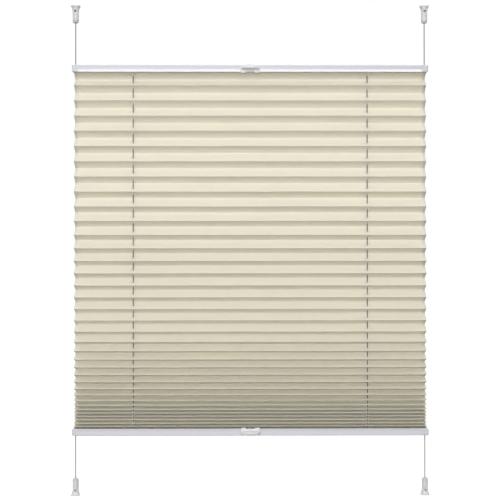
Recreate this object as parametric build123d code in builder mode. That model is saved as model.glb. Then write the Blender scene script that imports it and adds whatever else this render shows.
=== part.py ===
from build123d import *
from math import sqrt
import os

# A free-hanging pleated blind. Two cords are held taut between four shoes that are
# screwed to the frame above and below. An upper and a lower rail slide on the cords,
# and a pleated sheet of cloth opens and closes between them.
#
# Millimetres. X runs along the rails, -Y faces the room, +Z is up. The origin lies
# midway between the two upper screw holes, where the upper shoes meet the frame.
# w is the distance from a frame face, or from a rail's outer face, towards the cloth.

# Overall sizes
frame_height = 827.0  # between the faces that carry the upper and the lower shoes
blind_width = 600.0  # over the end caps
upper_rail_drop = 101.5  # upper frame face to the top of the upper rail
lower_rail_rise = 101.5  # lower frame face to the underside of the lower rail
cord_inset = 5.0  # outer cord to the end of the rails
inner_cord_x = 198.0  # inner cords, each side of the middle

# Rail section
rail_depth = 22.0
rail_height = 12.0
rail_wall = 1.2
rail_corner = 1.6
slot_width = 15.0
groove_depth = 0.5  # long groove along the front and the back
groove_height = 6.8
groove_start = 0.9

# End caps
cap_length = 10.0
plug_length = 8.0
plug_play = 0.15
cap_bevel = 1.6
cap_recess_play = 0.5

# Cords
cord_diameter = 1.4
cord_play = 0.5  # round the cord in its channels
cord_plate_play = 0.4  # between a level run and the plate of a spring slide
end_bend = 3.5
guide_bend = 4.0
shift_bend = 15.0
run_offset = 4.0  # the two runs that pass the spring slide, each side of the middle
shift_start = 20.0  # where the level run leaves the middle, from the outer cord
shift_length = 20.0
knot_diameter = 3.4

# Cord guides
guide_length = 12.0
guide_play = 0.25
guide_nose_play = 0.3

# Strips that hold the cloth in the rails
strip_thickness = 1.6
strip_play = 0.3
strip_hole = 3.4

# Cloth
fabric_side_play = 3.0  # edge of the cloth to the end of the rails
fabric_thickness = 0.3
face_length = 20.0  # one pleat face, fold to fold
fold_limit = 1.0  # most that a flat fold stands proud
half_depth_limit = 9.6
tab_width = 13.0
cord_hole = 4.0
first_fold_drop = 21.4  # underside of the upper rail to the first front fold
last_fold_rise = 7.8  # top of the lower rail to the last front fold
pleat_count = 35
pitch_rows = [0, 7, 12, 18, 22, 25, 30, 34]
pitch_sizes = [26.2, 25.0, 21.3, 18.8, 12.8, 11.2, 6.0, 4.0]
sag_rows = [0, 10, 18, 24, 34]
sag_sizes = [1.0, 2.4, 2.4, 0.6, 0.0]

# Tension spring and its two slides
post_x = 46.0
slide_plate = 1.2
slide_play = 0.4
slide_margin = 1.0
post_flange = 5.0
post_flange_limit = 1.0  # its thickness, where the rail is high enough
flange_cord_play = 0.15
spring_wire = 1.0
spring_play = 0.4  # between the coil and what lies above and below it
spring_coils = 44
hook_straight = 1.0
lug_thickness = 1.2
lug_hole = 2.6
lug_rim = 0.8
hook_play = 0.2

# Handles
handle_width = 33.0
handle_tip_width = 15.0
handle_plate = 1.8
handle_shoulder = 7.5  # straight part of the sides, from the cloth side
handle_reach = 8.5  # how far the finger lip stands out from the rail
lip_thickness = 2.0
lip_root = 5.4
tab_x = 12.0
tab_length = 6.0
tab_thickness = 1.0
tab_grip = 3.2
handle_play = 0.1

# Shoes
shoe_plate_size = 15.0
shoe_plate_corner = 5.0
shoe_plate_thickness = 2.2
shoe_neck_base = 13.6
shoe_neck_end = 10.5
shoe_body_diameter = 10.4
shoe_body_end = 24.8
shoe_bore = 7.4
shoe_floor = 3.2
screw_hole = 4.0
shoe_window = 3.8
shoe_window_level = 9.4
foot_end = 29.0
foot_tip_diameter = 8.6
foot_tip_round = 1.4
foot_play = 0.1
foot_stem_start = 18.0
knot_level = 20.0
knot_chamber = 4.4
knot_play = 0.3

# Derived sizes
half_width = blind_width / 2
cord_x = half_width - cord_inset
profile_length = blind_width - 2 * cap_length
cavity_depth = rail_depth - 2 * rail_wall
cavity_height = rail_height - 2 * rail_wall
strip_level = rail_height - rail_wall - strip_thickness
slide_near = strip_level - slide_play - slide_plate
flange_start = rail_wall + slide_play
cord_level = slide_near - cord_diameter / 2 - cord_plate_play  # w of the cord's level runs
flange_room = cord_level - cord_diameter / 2 - flange_cord_play - flange_start
post_flange_thickness = min(post_flange_limit, flange_room)
fabric_width = blind_width - 2 * fabric_side_play
plug_end = profile_length / 2 - plug_length
channel = cord_diameter + 2 * cord_play
front = -rail_depth / 2
spring_radius = min(strip_level - cord_level, cord_level - rail_wall) - spring_play
coil_radius = spring_radius - spring_wire / 2
coil_half_length = spring_coils * spring_wire / 2
hook_reach = coil_half_length + hook_straight + coil_radius + spring_wire / 2

UPPER, LOWER = 1, -1
LEFT, RIGHT = -1, 1
rail_face = {UPPER: -upper_rail_drop, LOWER: lower_rail_rise - frame_height}
frame_face = {UPPER: 0.0, LOWER: -frame_height}
level_name = {UPPER: "upper", LOWER: "lower"}
frame_name = {UPPER: "top", LOWER: "bottom"}
hand_name = {LEFT: "left", RIGHT: "right"}


def rail_z(level, w):
    """Height of a point w inside a rail, measured from its outer face."""
    return rail_face[level] - level * w


def frame_z(level, w):
    """Height of a point w away from the frame face that a shoe is screwed to."""
    return frame_face[level] - level * w


def between(row, rows, values):
    """Value at a row, on straight lines between the given rows."""
    for i in range(len(rows) - 1):
        if row <= rows[i + 1]:
            share = (row - rows[i]) / (rows[i + 1] - rows[i])
            return values[i] + share * (values[i + 1] - values[i])
    return values[-1]


def band(level, near, far):
    """Middle height and extent of what lies between two depths inside a rail."""
    return (rail_z(level, near) + rail_z(level, far)) / 2, abs(far - near)


def box_between(x_ends, y_ends, z_ends, mode=Mode.ADD):
    """A block given by its two ends along each axis."""
    middle = [(a + b) / 2 for a, b in (x_ends, y_ends, z_ends)]
    sides = [abs(b - a) for a, b in (x_ends, y_ends, z_ends)]
    with Locations(tuple(middle)):
        return Box(*sides, mode=mode)


def make_rail(level):
    """The extruded profile, open by a slot on the side of the cloth."""
    middle, _ = band(level, 0, rail_height)
    slot_middle, slot_depth = band(level, rail_height - 2 * rail_wall, rail_height + rail_wall)
    groove_middle, _ = band(level, groove_start, groove_start + groove_height)
    with BuildPart() as rail:
        with BuildSketch(Plane.YZ.offset(-profile_length / 2)):
            with Locations((0, middle)):
                RectangleRounded(rail_depth, rail_height, rail_corner)
                Rectangle(cavity_depth, cavity_height, mode=Mode.SUBTRACT)
            with Locations((0, slot_middle)):
                Rectangle(slot_width, slot_depth, mode=Mode.SUBTRACT)
            with Locations((front, groove_middle), (-front, groove_middle)):
                Rectangle(2 * groove_depth, groove_height, mode=Mode.SUBTRACT)
        extrude(amount=profile_length)
    return rail.part


def make_end_cap(level, hand):
    """Closes a rail's end and turns the outer cord from upright to level."""
    middle, _ = band(level, 0, rail_height)
    plug_far = strip_level - strip_play
    plug_middle, plug_height = band(level, rail_wall + plug_play, plug_far)
    recess_start = rail_height - rail_wall
    with BuildPart() as cap:
        with BuildSketch(Plane.YZ.offset(hand * profile_length / 2)):
            with Locations((0, middle)):
                RectangleRounded(rail_depth, rail_height, rail_corner)
        extrude(amount=hand * cap_length)
        end_face = cap.faces().sort_by(Axis.X)[-1 if hand == RIGHT else 0]
        chamfer(end_face.edges(), cap_bevel)
        with BuildSketch(Plane.YZ.offset(hand * profile_length / 2)):
            with Locations((0, plug_middle)):
                Rectangle(cavity_depth - 2 * plug_play, plug_height)
        extrude(amount=-hand * plug_length)
        box_between(
            (hand * profile_length / 2, hand * (fabric_width / 2 + cap_recess_play)),
            (-slot_width / 2, slot_width / 2),
            (rail_z(level, recess_start), rail_z(level, rail_height + 1)),
            mode=Mode.SUBTRACT,
        )
        box_between(
            (hand * (plug_end - 1), hand * (cord_x + channel / 2)),
            (-channel / 2, channel / 2),
            (rail_z(level, rail_wall), rail_z(level, cord_level + channel / 2)),
            mode=Mode.SUBTRACT,
        )
        with BuildSketch(Plane.XY.offset(rail_z(level, -1))):
            with Locations((hand * cord_x, 0)):
                Circle(channel / 2)
        extrude(amount=-level * (rail_wall + 2), mode=Mode.SUBTRACT)
    return cap.part


def make_cord_guide(level, hand):
    """Turns the inner cord from upright to level, inside the rail."""
    far = strip_level - guide_play
    inward = level == UPPER
    opening = -hand if inward else hand
    start_x = hand * inner_cord_x
    wall_x = start_x - opening * channel / 2
    nose_x = start_x + opening * guide_bend
    out_x = start_x + opening * guide_length
    roof_z = rail_z(level, cord_level - channel / 2)
    nose_z = rail_z(level, cord_level + guide_bend)
    nose_radius = guide_bend - cord_diameter / 2 - guide_nose_play
    floor_z = rail_z(level, far + 1)
    half_block = cavity_depth / 2 - guide_play
    with BuildPart() as guide:
        box_between(
            (start_x - guide_length / 2, start_x + guide_length / 2),
            (-half_block, half_block),
            (rail_z(level, rail_wall + guide_play), rail_z(level, far)),
        )
        with BuildSketch(Plane.XZ):
            with Locations(((wall_x + out_x) / 2, (roof_z + floor_z) / 2)):
                Rectangle(abs(out_x - wall_x), abs(floor_z - roof_z))
            with Locations((nose_x, nose_z)):
                Circle(nose_radius, mode=Mode.SUBTRACT)
            with Locations(((nose_x + out_x) / 2, nose_z)):
                Rectangle(abs(out_x - nose_x), 2 * nose_radius, mode=Mode.SUBTRACT)
        extrude(amount=channel / 2, both=True, mode=Mode.SUBTRACT)
        if inward:
            box_between(
                (start_x - guide_length, start_x + guide_length),
                (run_offset - channel / 2, run_offset + channel / 2),
                (roof_z, rail_z(level, cord_level + channel / 2)),
                mode=Mode.SUBTRACT,
            )
    return guide.part


def make_fabric_strip(level):
    """Flat strip on the rail's lips, to which the end of the cloth is bonded."""
    length = profile_length - 2 * strip_play
    width = cavity_depth - 2 * strip_play
    with BuildPart() as strip:
        box_between(
            (-length / 2, length / 2),
            (-width / 2, width / 2),
            (rail_z(level, strip_level), rail_z(level, strip_level + strip_thickness)),
        )
        with BuildSketch(Plane.XY.offset(rail_z(level, strip_level - 1))):
            with Locations((-inner_cord_x, 0), (inner_cord_x, 0)):
                Circle(strip_hole / 2)
        extrude(amount=-level * (strip_thickness + 2), mode=Mode.SUBTRACT)
    return strip.part


def make_handle(level):
    """Clear grip: a plate clipped on the rail's front, with a finger lip."""
    plate_front = front - handle_plate
    lip_front = front - handle_reach
    lip_height = lip_front - plate_front
    side_view = [
        (front, rail_z(level, rail_height + tab_thickness + handle_play)),
        (plate_front, rail_z(level, rail_height + tab_thickness + handle_play)),
        (plate_front, rail_z(level, lip_root)),
        (lip_front, rail_z(level, lip_thickness)),
        (lip_front, rail_z(level, 0)),
        (plate_front, rail_z(level, lip_root - lip_thickness - 0.4)),
        (plate_front, rail_z(level, 0)),
        (front, rail_z(level, 0)),
    ]
    top_w = rail_height + 2 * tab_thickness
    shoulder_w = rail_height - handle_shoulder
    outline = [
        (-handle_width / 2, rail_z(level, top_w)),
        (handle_width / 2, rail_z(level, top_w)),
        (handle_width / 2, rail_z(level, shoulder_w + 1.5)),
        (handle_tip_width / 2, rail_z(level, -0.01)),
        (-handle_tip_width / 2, rail_z(level, -0.01)),
        (-handle_width / 2, rail_z(level, shoulder_w + 1.5)),
    ]
    tab_near = rail_height + handle_play
    rib_near = groove_start + handle_play
    rib_far = groove_start + groove_height - handle_play
    with BuildPart() as handle:
        with BuildSketch(Plane.YZ.offset(-handle_width / 2)):
            with BuildLine():
                Polyline(side_view, close=True)
            make_face()
        extrude(amount=handle_width)
        with BuildSketch(Plane.XZ):
            with BuildLine():
                Polyline(outline, close=True)
            make_face()
        extrude(amount=rail_depth + abs(lip_height), mode=Mode.INTERSECT)
        box_between(
            (-handle_tip_width / 2, handle_tip_width / 2),
            (front - rail_depth, front),
            (rail_z(level, tab_near), rail_z(level, top_w)),
            mode=Mode.SUBTRACT,
        )
        for side in (-tab_x, tab_x):
            box_between(
                (side - tab_length / 2, side + tab_length / 2),
                (front, front + tab_grip),
                (rail_z(level, tab_near), rail_z(level, tab_near + tab_thickness)),
            )
        box_between(
            (-handle_tip_width / 2, handle_tip_width / 2),
            (front, front + groove_depth - handle_play),
            (rail_z(level, rib_near), rail_z(level, rib_far)),
        )
    return handle.part


def front_fold_heights():
    """Front folds from the top one down, wide at the top and stacked below."""
    top = rail_z(UPPER, rail_height) - first_fold_drop
    bottom = rail_z(LOWER, rail_height) + last_fold_rise
    pitches = [between(row + 0.5, pitch_rows, pitch_sizes) for row in range(pleat_count - 1)]
    stretch = (top - bottom) / sum(pitches)
    heights = [top]
    for pitch in pitches:
        heights.append(heights[-1] - pitch * stretch)
    return heights


def fold_line():
    """The folds in order down the cloth, as (y, z), front and back in turn."""
    heights = front_fold_heights()
    entry = rail_z(UPPER, rail_height - rail_wall + fabric_thickness / 2)
    leave = rail_z(LOWER, rail_height - rail_wall + fabric_thickness / 2)
    first_back = heights[0] + (heights[0] - heights[1]) / 2 + sag_sizes[0]
    points = [(-tab_width / 2, entry)]
    above = first_back
    for row, height in enumerate(heights):
        if row < pleat_count - 1:
            below = (height + heights[row + 1]) / 2 + between(row, sag_rows, sag_sizes)
        else:
            below = leave
        rise = (above - below) / 2
        half_depth = min(sqrt(face_length**2 - rise**2) / 2, half_depth_limit)
        points.append((half_depth, above))
        points.append((-half_depth, height))
        above = below
    points.append((tab_width / 2, leave))
    return points


def make_pleated_fabric():
    """One sheet, folded to and fro, with punched holes for the inner cords."""
    points = fold_line()
    near_side, far_side = [], []
    for i, (y, z) in enumerate(points):
        before = points[max(i - 1, 0)]
        after = points[min(i + 1, len(points) - 1)]
        length = sqrt((after[0] - y) ** 2 + (after[1] - z) ** 2)
        length += sqrt((before[0] - y) ** 2 + (before[1] - z) ** 2)
        slope = (before[1] - after[1]) / length
        proud = min(fabric_thickness / 2 / slope, fold_limit)
        near_side.append((y - proud, z))
        far_side.append((y + proud, z))
    half = fabric_thickness / 2
    with BuildPart() as fabric:
        with BuildSketch(Plane.YZ.offset(-fabric_width / 2)):
            with BuildLine():
                Polyline(near_side + far_side[::-1], close=True)
            make_face()
            for z in (points[0][1], points[-1][1]):
                with Locations((0, z)):
                    Rectangle(tab_width + 2 * half, fabric_thickness)
        extrude(amount=fabric_width)
        with BuildSketch(Plane.XY.offset(points[0][1] + 1)):
            with Locations((-inner_cord_x, 0), (inner_cord_x, 0)):
                Circle(cord_hole / 2)
        extrude(amount=points[-1][1] - points[0][1] - 2, mode=Mode.SUBTRACT)
    return fabric.part


def make_tension_cord(hand):
    """One cord along its whole route, from the upper knot to the lower knot."""
    outer, inner = hand * cord_x, hand * inner_cord_x
    upper, lower = rail_z(UPPER, cord_level), rail_z(LOWER, cord_level)
    turn = hand * (post_x - run_offset)
    leave = hand * (cord_x - shift_start)
    settle = hand * (cord_x - shift_start - shift_length)
    arrive = hand * (inner_cord_x - guide_length)
    depart = hand * (inner_cord_x - guide_length - shift_length)
    start = (outer, 0, frame_z(UPPER, knot_level))
    finish = (outer, 0, frame_z(LOWER, knot_level))
    corners = [
        ((outer, 0, upper), end_bend),
        ((leave, 0, upper), shift_bend),
        ((settle, run_offset, upper), shift_bend),
        ((turn, run_offset, upper), 0.98 * run_offset),
        ((turn, -run_offset, upper), 0.98 * run_offset),
        ((depart, -run_offset, upper), shift_bend),
        ((arrive, 0, upper), shift_bend),
        ((inner, 0, upper), guide_bend),
        ((inner, 0, lower), guide_bend),
        ((outer, 0, lower), end_bend),
    ]
    route = [start] + [point for point, _ in corners] + [finish]
    radii = [radius for _, radius in corners]
    with BuildPart() as cord:
        with BuildLine() as path:
            FilletPolyline(*route, radius=radii)
        centre_line = path.wires()[0]
        with BuildSketch(Plane(origin=start, z_dir=(0, 0, -1))):
            Circle(cord_diameter / 2)
        sweep(path=centre_line)
        for knot in (start, finish):
            with Locations(knot):
                Sphere(knot_diameter / 2)
    section = 3.14159 * cord_diameter**2 / 4
    print(hand_name[hand], "cord: length", round(centre_line.length, 1), "bends", radii)
    print("  volume over section", round(cord.part.volume / section, 1))
    return cord.part


def make_spring_slide(hand):
    """Carries a post that the cord loops round, and a lug for the spring."""
    half_block = cavity_depth / 2 - slide_play
    hole_near = hook_reach - spring_wire - hook_play
    hole_x = hole_near + lug_hole / 2
    lug_near = hole_near - lug_rim
    lug_top = max(flange_start, cord_level - lug_hole / 2 - lug_rim)
    with BuildPart() as slide:
        box_between(
            (hand * lug_near, hand * (post_x + post_flange + slide_margin)),
            (-half_block, half_block),
            (rail_z(UPPER, slide_near), rail_z(UPPER, slide_near + slide_plate)),
        )
        box_between(
            (hand * lug_near, hand * (post_x - post_flange - slide_margin)),
            (-lug_thickness / 2, lug_thickness / 2),
            (rail_z(UPPER, lug_top), rail_z(UPPER, slide_near)),
        )
        with BuildSketch(Plane.XZ):
            with Locations((hand * hole_x, rail_z(UPPER, cord_level))):
                Circle(lug_hole / 2)
        extrude(amount=lug_thickness, both=True, mode=Mode.SUBTRACT)
        with BuildSketch(Plane.XY.offset(rail_z(UPPER, slide_near))):
            with Locations((hand * post_x, 0)):
                Circle(run_offset - cord_diameter / 2 - guide_nose_play)
        extrude(amount=slide_near - flange_start)
        with BuildSketch(Plane.XY.offset(rail_z(UPPER, flange_start))):
            with Locations((hand * post_x, 0)):
                Circle(post_flange)
        extrude(amount=-post_flange_thickness)
    return slide.part


def make_tension_spring():
    """Close-wound coil, its turns touching, with a half-round hook at each end."""
    mean = coil_radius
    half = coil_half_length
    hook_start = half + hook_straight
    axis_z = rail_z(UPPER, cord_level)
    with BuildPart() as spring:
        with BuildSketch(Plane.XZ):
            with BuildLine():
                for turn in range(spring_coils):
                    x = -half + turn * spring_wire
                    ThreePointArc(
                        (x, axis_z + mean),
                        (x + spring_wire / 2, axis_z + mean + spring_wire / 2),
                        (x + spring_wire, axis_z + mean),
                    )
                inner_z = axis_z + mean - spring_wire / 2
                Polyline(
                    (half, axis_z + mean),
                    (half, inner_z),
                    (-half, inner_z),
                    (-half, axis_z + mean),
                )
            make_face()
        revolve(axis=Axis((0, 0, axis_z), (1, 0, 0)))
        for hand in (LEFT, RIGHT):
            end = hand * (half - spring_wire / 2)
            with BuildLine() as hook:
                Line((end, mean, axis_z), (hand * hook_start, mean, axis_z))
                ThreePointArc(
                    (hand * hook_start, mean, axis_z),
                    (hand * (hook_start + mean), 0, axis_z),
                    (hand * hook_start, -mean, axis_z),
                )
                Line((hand * hook_start, -mean, axis_z), (end, -mean, axis_z))
            with BuildSketch(Plane(origin=(end, mean, axis_z), z_dir=(hand, 0, 0))):
                Circle(spring_wire / 2)
            sweep(path=hook.wires()[0])
    return spring.part


def make_shoe(level, hand):
    """Screwed to the frame: a plate, a neck and a hollow body for the cord foot."""
    x = hand * cord_x
    with BuildPart() as shoe:
        with BuildSketch(Plane.XY.offset(frame_z(level, 0))):
            with Locations((x, 0)):
                RectangleRounded(shoe_plate_size, shoe_plate_size, shoe_plate_corner)
        extrude(amount=-level * shoe_plate_thickness)
        with BuildSketch(Plane.XY.offset(frame_z(level, shoe_plate_thickness))):
            with Locations((x, 0)):
                Circle(shoe_neck_base / 2)
        with BuildSketch(Plane.XY.offset(frame_z(level, shoe_neck_end))):
            with Locations((x, 0)):
                Circle(shoe_body_diameter / 2)
        loft()
        with BuildSketch(Plane.XY.offset(frame_z(level, shoe_neck_end))):
            with Locations((x, 0)):
                Circle(shoe_body_diameter / 2)
        extrude(amount=-level * (shoe_body_end - shoe_neck_end))
        with BuildSketch(Plane.XY.offset(frame_z(level, shoe_floor))):
            with Locations((x, 0)):
                Circle(shoe_bore / 2)
        extrude(amount=-level * shoe_body_end, mode=Mode.SUBTRACT)
        with BuildSketch(Plane.XY.offset(frame_z(level, -1))):
            with Locations((x, 0)):
                Circle(screw_hole / 2)
        extrude(amount=-level * (shoe_floor + 2), mode=Mode.SUBTRACT)
        with BuildSketch(Plane.XZ):
            with Locations((x, frame_z(level, shoe_window_level))):
                Circle(shoe_window / 2)
        extrude(amount=shoe_body_diameter, mode=Mode.SUBTRACT)
    return shoe.part


def make_cord_foot(level, hand):
    """Tapered plug in the shoe's mouth that holds the cord's knot."""
    x = hand * cord_x
    with BuildPart() as foot:
        with BuildSketch(Plane.XY.offset(frame_z(level, foot_stem_start))):
            with Locations((x, 0)):
                Circle(shoe_bore / 2 - foot_play)
        extrude(amount=-level * (shoe_body_end - foot_stem_start))
        with BuildSketch(Plane.XY.offset(frame_z(level, shoe_body_end))):
            with Locations((x, 0)):
                Circle(shoe_body_diameter / 2)
        with BuildSketch(Plane.XY.offset(frame_z(level, foot_end))):
            with Locations((x, 0)):
                Circle(foot_tip_diameter / 2)
        loft()
        tip_face = foot.faces().sort_by(Axis.Z)[0 if level == UPPER else -1]
        fillet(tip_face.edges(), foot_tip_round)
        with BuildSketch(Plane.XY.offset(frame_z(level, foot_stem_start - 1))):
            with Locations((x, 0)):
                Circle(cord_diameter / 2 + cord_play / 2)
        extrude(amount=-level * foot_end, mode=Mode.SUBTRACT)
        chamber = knot_level + knot_diameter / 2 + knot_play - foot_stem_start
        with BuildSketch(Plane.XY.offset(frame_z(level, foot_stem_start))):
            with Locations((x, 0)):
                Circle(knot_chamber / 2)
        extrude(amount=-level * chamber, mode=Mode.SUBTRACT)
    return foot.part


def save(piece, name):
    """Write one piece to its own file."""
    piece.label = name
    export_step(piece, f"parts/{name}.step")


os.makedirs("parts", exist_ok=True)

for level in (UPPER, LOWER):
    name = level_name[level]
    save(make_rail(level), f"{name}_rail")
    save(make_fabric_strip(level), f"{name}_fabric_strip")
    save(make_handle(level), f"{name}_handle")
    for hand in (LEFT, RIGHT):
        side = hand_name[hand]
        save(make_end_cap(level, hand), f"{name}_{side}_end_cap")
        save(make_cord_guide(level, hand), f"{name}_{side}_cord_guide")
        save(make_shoe(level, hand), f"{frame_name[level]}_{side}_shoe")
        save(make_cord_foot(level, hand), f"{frame_name[level]}_{side}_cord_foot")

for hand in (LEFT, RIGHT):
    save(make_tension_cord(hand), f"{hand_name[hand]}_tension_cord")
    save(make_spring_slide(hand), f"{hand_name[hand]}_spring_slide")

save(make_tension_spring(), "tension_spring")
save(make_pleated_fabric(), "pleated_fabric")
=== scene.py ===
"""Looks of a pleated blind: cloth, cords, rails, caps, grips and shoes."""

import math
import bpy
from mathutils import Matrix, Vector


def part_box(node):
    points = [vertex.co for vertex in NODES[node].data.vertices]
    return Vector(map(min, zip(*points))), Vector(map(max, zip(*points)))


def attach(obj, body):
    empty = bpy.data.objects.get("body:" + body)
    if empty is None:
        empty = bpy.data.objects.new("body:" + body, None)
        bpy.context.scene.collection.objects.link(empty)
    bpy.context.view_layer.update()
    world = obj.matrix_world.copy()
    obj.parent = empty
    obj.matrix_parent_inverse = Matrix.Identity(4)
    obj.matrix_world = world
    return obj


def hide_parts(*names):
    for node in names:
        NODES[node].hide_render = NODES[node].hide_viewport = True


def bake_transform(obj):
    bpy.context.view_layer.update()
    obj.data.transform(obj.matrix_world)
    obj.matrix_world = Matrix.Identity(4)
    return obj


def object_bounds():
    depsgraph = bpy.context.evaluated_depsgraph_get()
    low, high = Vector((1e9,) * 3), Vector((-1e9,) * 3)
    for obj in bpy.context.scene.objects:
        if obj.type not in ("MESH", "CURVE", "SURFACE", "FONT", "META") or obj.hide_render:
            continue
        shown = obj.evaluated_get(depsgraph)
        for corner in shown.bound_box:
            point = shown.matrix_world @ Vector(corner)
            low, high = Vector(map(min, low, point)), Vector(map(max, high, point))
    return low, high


bl_info = {
    "name": "Pleated Blind",
    "version": (1, 0, 0),
    "blender": (4, 5, 0),
    "location": "3D View > Sidebar > Blind",
    "description": "Builds the cloth and cords of a pleated blind and finishes its parts",
    "category": "Object",
}

import bmesh
import bpy
import numpy as np

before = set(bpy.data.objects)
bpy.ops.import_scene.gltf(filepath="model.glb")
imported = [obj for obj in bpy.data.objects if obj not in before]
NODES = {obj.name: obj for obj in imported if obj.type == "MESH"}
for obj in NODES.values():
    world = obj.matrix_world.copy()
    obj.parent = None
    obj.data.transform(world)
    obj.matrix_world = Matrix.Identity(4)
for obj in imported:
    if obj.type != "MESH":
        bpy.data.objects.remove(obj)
CAD_BOX = [list(corner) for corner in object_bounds()]

ROOT, UPPER_BODY, LOWER_BODY = "shoes_and_cords", "upper_rail", "lower_rail"
SIDES = (("left", -1), ("right", 1))
MM = 0.001


# ---------------------------------------------------------------- measures from the frame
def middle(node):
    """Centre of a CAD node's box."""
    low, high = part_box(node)
    return (low + high) / 2


UPPER_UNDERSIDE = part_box("upper_rail")[0].z
LOWER_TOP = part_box("lower_rail")[1].z
OUTER_CORD_X = middle("top_right_shoe").x
INNER_CORD_X = middle("lower_right_cord_guide").x


def section_of_cloth():
    """The folds of the CAD cloth from the top down, as (y, z) pairs in metres."""
    mesh = NODES["pleated_fabric"].data
    points = np.array([v.co for v in mesh.vertices])
    edge = points[points[:, 0] < points[:, 0].min() + 1e-5]
    inside = edge[(edge[:, 2] < UPPER_UNDERSIDE) & (edge[:, 2] > LOWER_TOP)]
    heights = np.round(inside[:, 2], 6)
    folds = [(inside[heights == z, 1].mean(), z) for z in sorted(set(heights), reverse=True)]
    return np.array(folds), edge[:, 2].max(), edge[:, 2].min()


def hang_under_own_weight(folds):
    """Lets the folds hang a little lower than evenly stretched pleats, most in the middle."""
    pleats = np.arange(len(folds)) / 2
    reached = [0, 4, 11, 19, 21, 23, 26, 29, 32, 34]
    drops = [0, 0, 5, 5, 2.7, 2.4, 3.4, 2.2, 1.0, 3.9]
    lower = folds.copy()
    lower[:, 1] -= np.interp(pleats, reached, drops) * MM
    lower[0, 1] -= 3 * MM
    return lower


FOLDS, CLOTH_TOP, CLOTH_BOTTOM = section_of_cloth()
FOLDS = hang_under_own_weight(FOLDS)
CLOTH_HALF_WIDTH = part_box("pleated_fabric")[1].x
RIPPLE_SPAN = 0.62  # height in metres over which the wander along the folds changes its shape
HALF_TAB = 6.5 * MM  # half the width of the flat tab that a strip holds at each end of the cloth
OPEN_PITCH = 17 * MM  # pitch from which a pleat counts as open
NOTCH = 7.7 * MM  # half the gap between the two clips of a grip
CORD_RADIUS = 0.85 * MM  # over the strands, which stand a little proud of the plain cord
FLOOR_DROP = 0.25  # metres from the lower shoes down to the floor
CAMERA_SIDE, CAMERA_HEIGHT = -12.4 * MM, -423.7 * MM
CAMERA_TILT = (90.334, 0.044, -0.378)  # degrees: level, roll and turn
CORD_SIDES = 15  # points round a laid cord
CORD_STEP = 0.55 * MM  # from one ring of points to the next
KNOT_HALF_HEIGHT, KNOT_SWELL = 1.7 * MM, 0.9 * MM


# ---------------------------------------------------------------- sizes and colours
class BlindCloth(bpy.types.PropertyGroup):
    """What the pleated cloth looks like."""

    colour: bpy.props.FloatVectorProperty(
        name="Cloth colour", description="Colour of the cream cloth",
        default=(0.87, 0.845, 0.76), min=0, max=1, subtype="COLOR",
    )
    # The yarn shade is the weft yarns' own tone and also the base colour of the painted shade in the weave's
    # pits and under shut pleats.
    shade: bpy.props.FloatVectorProperty(
        name="Yarn shade", description="Darker tone of the thicker weft yarns",
        default=(0.80, 0.765, 0.655), min=0, max=1, subtype="COLOR",
    )
    thickness: bpy.props.FloatProperty(
        name="Thickness", description="Thickness of the cloth",
        default=0.3 * MM, min=0.1 * MM, max=1 * MM, unit="LENGTH",
    )
    yarn: bpy.props.FloatProperty(
        name="Yarn spacing", description="Distance from one yarn to the next",
        default=0.5 * MM, min=0.1 * MM, max=3 * MM, unit="LENGTH",
    )
    fold_radius: bpy.props.FloatProperty(
        name="Fold rounding", description="Distance from a fold at which the cloth is straight",
        default=0.3 * MM, min=0.1 * MM, max=3 * MM, unit="LENGTH",
    )
    bow: bpy.props.FloatProperty(
        name="Bow", description="How far a pleat face bows between its folds, 1 for flat",
        default=1.3, min=1, max=2,
    )
    translucency: bpy.props.FloatProperty(
        name="Translucency", description="Share of the light that passes each side of the cloth",
        default=0.36, min=0, max=1, subtype="FACTOR",
    )
    # Painted shade: how much the cloth colour is darkened and warmed on the undersides of shut pleats.
    painted_pleat_shade: bpy.props.FloatProperty(
        name="Undertone", description="How much darker and warmer the undersides of shut pleats are",
        default=0.2, min=0, max=1, subtype="FACTOR",
    )
    ripple: bpy.props.FloatProperty(
        name="Ripple", description="How far the folds wander from straight lines",
        default=0.15 * MM, min=0, max=2 * MM, unit="LENGTH",
    )
    hole: bpy.props.FloatProperty(
        name="Cord hole", description="Diameter of the punched holes for the inner cords",
        default=4 * MM, min=1 * MM, max=8 * MM, unit="LENGTH",
    )


class BlindHardware(bpy.types.PropertyGroup):
    """Colours of rails, caps, grips, shoes and cords."""

    rail: bpy.props.FloatVectorProperty(
        name="Rail colour", description="Lacquer on the aluminium rails",
        default=(0.53, 0.525, 0.57), min=0, max=1, subtype="COLOR",
    )
    cap: bpy.props.FloatVectorProperty(
        name="Cap colour", description="Plastic of the end caps",
        default=(0.49, 0.50, 0.525), min=0, max=1, subtype="COLOR",
    )
    shoe: bpy.props.FloatVectorProperty(
        name="Shoe colour", description="Light plastic of the shoes",
        default=(0.65, 0.655, 0.67), min=0, max=1, subtype="COLOR",
    )
    foot: bpy.props.FloatVectorProperty(
        name="Cord foot colour", description="Darker plastic of the cord feet",
        default=(0.45, 0.455, 0.465), min=0, max=1, subtype="COLOR",
    )
    grip: bpy.props.FloatVectorProperty(
        name="Grip colour", description="Clear plastic of the grips",
        default=(0.80, 0.80, 0.805), min=0, max=1, subtype="COLOR",
    )
    inner: bpy.props.FloatVectorProperty(
        name="Inner plastic", description="Plastic of the guides and slides inside the rails",
        default=(0.62, 0.62, 0.60), min=0, max=1, subtype="COLOR",
    )
    cord: bpy.props.FloatVectorProperty(
        name="Cord colour", description="Polyester of the tension cords",
        default=(0.085, 0.084, 0.08), min=0, max=1, subtype="COLOR",
    )
    strands: bpy.props.IntProperty(
        name="Strands", description="Strands laid into one cord", default=3, min=2, max=8,
    )
    lay: bpy.props.FloatProperty(
        name="Lay", description="Length along the cord of one turn of a strand",
        default=4.5 * MM, min=1 * MM, max=20 * MM, unit="LENGTH",
    )


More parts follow.
